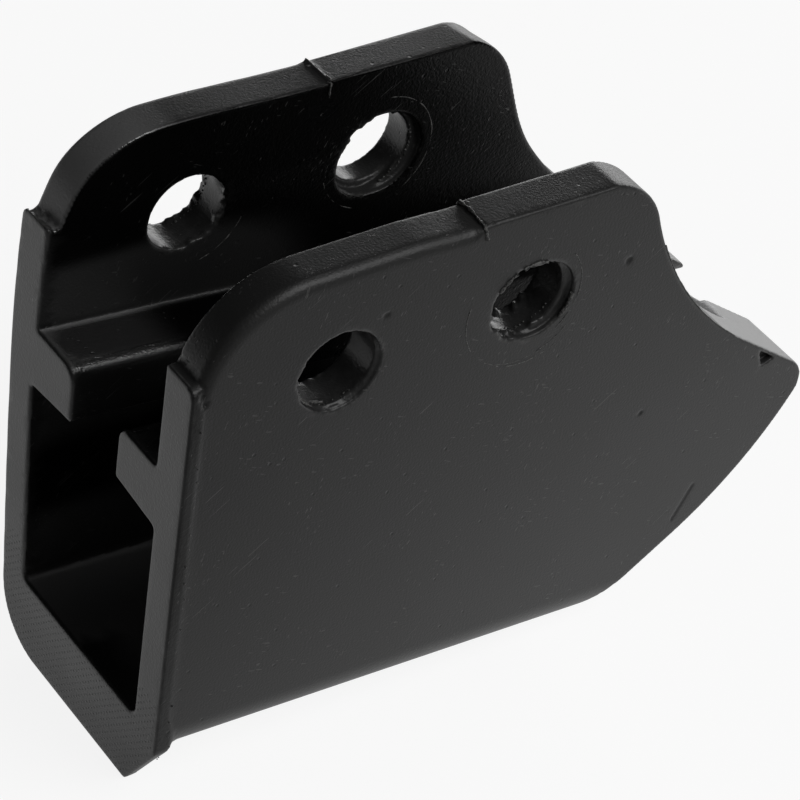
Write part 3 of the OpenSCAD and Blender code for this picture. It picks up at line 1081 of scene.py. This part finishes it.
# %% Dots on the end face
DOT_SPACING = 0.76
DOT_ROWS = 120
dot_axis = np.arange(-DOT_ROWS // 2, DOT_ROWS // 2) * DOT_SPACING / math.sqrt(2)
grid_y, grid_z = np.meshgrid(dot_axis, dot_axis - 44.0)
every_second = (np.add.outer(np.arange(DOT_ROWS), np.arange(DOT_ROWS)) % 2 == 0).ravel()
grid_y, grid_z = grid_y.ravel()[every_second], grid_z.ravel()[every_second]
inset = block_distance(np.full(grid_y.shape, end_x + 0.6), grid_y, grid_z)
keep = (inset < -0.55) & (grid_z < -38 - 0.25 * np.abs(grid_y))
dot_mesh = bpy.data.meshes.new("dots")
dot_places = [(end_x * MM, y * MM, z * MM) for y, z in zip(grid_y[keep], grid_z[keep])]
dot_mesh.from_pydata(dot_places, [], [])

tree, given, result = geometry_tree(
    "dot_rows", {"Dot Radius": (LENGTH, 0.2 * MM), "Height": (NUMBER, 0.2)}
)
dome = add_node(tree, "GeometryNodeMeshIcoSphere", {"Subdivisions": 1})
tree.links.new(given.outputs["Dot Radius"], dome.inputs["Radius"])
flat = add_node(tree, "ShaderNodeCombineXYZ", {"Y": 1.0, "Z": 1.0})
tree.links.new(given.outputs["Height"], flat.inputs["X"])
rows = add_node(tree, "GeometryNodeInstanceOnPoints")
tree.links.new(given.outputs["Geometry"], rows.inputs["Points"])
tree.links.new(dome.outputs["Mesh"], rows.inputs["Instance"])
tree.links.new(flat.outputs[0], rows.inputs["Scale"])
finish_tree(tree, rows.outputs["Instances"], result, plastic)
dots = grow("mould_dots", dot_mesh, tree, Dot_Radius=0.19 * MM, Height=0.16)
print("dots", int(keep.sum()))

# %% [markdown]
# ## Stage and light
#
# The block stands on a plain pale floor. A black satin thing is seen by what it mirrors, so the
# floor is bright, the sky is darker towards the back left, and a wide low lamp at the back right
# gives the slanting cut its shine. To the camera and in reflections the floor is nearly white of
# its own, and a part of it is lit normally, which keeps the block's shadow. In reflections it
# fades towards the front, as a table does that is lit from behind.

# %% Floor
FADE_WAY = (0.4, 0.92, 0.0)
FADE_FROM_TO_MM = (-62.0, -6.0)
FADE_STRENGTHS = (0.1, 1.25)
floor_half = 3.0
floor_z = lip_z * MM
corners = [(-1, -1), (1, -1), (1, 1), (-1, 1)]
floor_mesh = bpy.data.meshes.new("floor")
floor_points = [(x * floor_half, y * floor_half, floor_z) for x, y in corners]
floor_mesh.from_pydata(floor_points, [], [(0, 1, 2, 3)])
floor = add_object("floor", floor_mesh)
pale_floor = bpy.data.materials.new("pale_floor")
pale_floor.use_nodes = True
tree = pale_floor.node_tree
tree.nodes.clear()
lit = add_node(tree, "ShaderNodeBsdfDiffuse", {"Color": (0.9, 0.9, 0.9, 1)})
rays = add_node(tree, "ShaderNodeLightPath")
away = add_node(tree, "ShaderNodeVectorMath", operation="DOT_PRODUCT")
tree.links.new(millimetres(tree), away.inputs[0])
away.inputs[1].default_value = FADE_WAY
mirrored = remap(tree, away.outputs["Value"], *FADE_FROM_TO_MM, *FADE_STRENGTHS)
white = add_node(tree, "ShaderNodeEmission", {"Color": (1, 1, 1, 1)})
tree.links.new(blend_value(tree, rays.outputs["Is Camera Ray"], mirrored, 1.1), white.inputs["Strength"])
seen = add_node(tree, "ShaderNodeMixShader")
tree.links.new(blend_value(tree, rays.outputs["Is Camera Ray"], 0.55, 0.8), seen.inputs["Fac"])
tree.links.new(lit.outputs[0], seen.inputs[1])
tree.links.new(white.outputs[0], seen.inputs[2])
direct = math_node(tree, "MAXIMUM", rays.outputs["Is Camera Ray"], rays.outputs["Is Glossy Ray"])
direct = math_node(tree, "MAXIMUM", direct, rays.outputs["Is Transmission Ray"])
either = add_node(tree, "ShaderNodeMixShader")
tree.links.new(direct, either.inputs["Fac"])
tree.links.new(lit.outputs[0], either.inputs[1])
tree.links.new(seen.outputs[0], either.inputs[2])
surface = add_node(tree, "ShaderNodeOutputMaterial")
tree.links.new(either.outputs[0], surface.inputs["Surface"])
floor.data.materials.append(pale_floor)
print("floor at", round(floor_z / MM, 1), "mm")

# %% Sky
DARK_SIDE = Vector((-0.75, 0.62, 0.25)).normalized()
SKY_BRIGHT, SKY_DARK = 1.1, 0.3
world = bpy.data.worlds.new("studio")
bpy.context.scene.world = world
world.use_nodes = True
tree = world.node_tree
looking = add_node(tree, "ShaderNodeTexCoord")
towards = add_node(tree, "ShaderNodeVectorMath", operation="DOT_PRODUCT")
tree.links.new(looking.outputs["Generated"], towards.inputs[0])
towards.inputs[1].default_value = DARK_SIDE
level = remap(tree, towards.outputs["Value"], -0.6, 0.95, SKY_BRIGHT, SKY_DARK)
tree.links.new(level, tree.nodes["Background"].inputs["Strength"])
print("sky from", SKY_BRIGHT, "down to", SKY_DARK)


# %% Lamps
BLOCK_MIDDLE = Vector((0.025, 0, -0.02))


def soft_lamp(name, towards_lamp, distance, width, height, watts):
    lamp = bpy.data.lights.new(name, "AREA")
    lamp.shape = "RECTANGLE"
    lamp.size, lamp.size_y, lamp.energy = width, height, watts
    obj = bpy.data.objects.new(name, lamp)
    bpy.context.scene.collection.objects.link(obj)
    way = Vector(towards_lamp).normalized()
    facing_block = way.to_track_quat("Z", "Y").to_matrix().to_4x4()
    obj.matrix_world = Matrix.Translation(BLOCK_MIDDLE + distance * way) @ facing_block
    print(name, watts, "W")


soft_lamp("key", (0.3, -0.6, 0.75), 0.9, 0.6, 0.6, 3.5)
soft_lamp("low_back_right", (0.76, 0.58, 0.14), 0.8, 0.7, 0.22, 2.0)

# %% [markdown]
# ## Camera
#
# The camera stands where the photograph was taken from: in front and to the left, looking down
# by forty degrees through a long lens, and turned a little about its own axis.

# %% Camera
camera_data = bpy.data.cameras.new("camera")
camera_data.sensor_width = 36
camera_data.lens = 148.0
camera = bpy.data.objects.new("camera", camera_data)
bpy.context.scene.collection.objects.link(camera)
CAMERA_AT_MM = Vector((-168.06, -223.86, 219.43))
azimuth, elevation, roll = math.radians(-40.62), math.radians(39.83), math.radians(9.27)
turn = Euler((math.pi / 2 - elevation, 0, azimuth)).to_matrix() @ Matrix.Rotation(roll, 3, "Z")
camera.matrix_world = Matrix.Translation(CAMERA_AT_MM * MM) @ turn.to_4x4()
bpy.context.scene.camera = camera
bpy.context.scene.view_settings.view_transform = "Standard"
print("camera", camera_data.lens, "mm")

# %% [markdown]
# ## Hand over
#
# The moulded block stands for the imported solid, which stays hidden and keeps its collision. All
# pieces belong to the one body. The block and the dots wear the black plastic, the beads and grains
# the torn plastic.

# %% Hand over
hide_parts("guide_block")
for piece in (block, seam_left, seam_right, rings, rim, lips, slivers, crumbs, dots):
    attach(piece, "root")
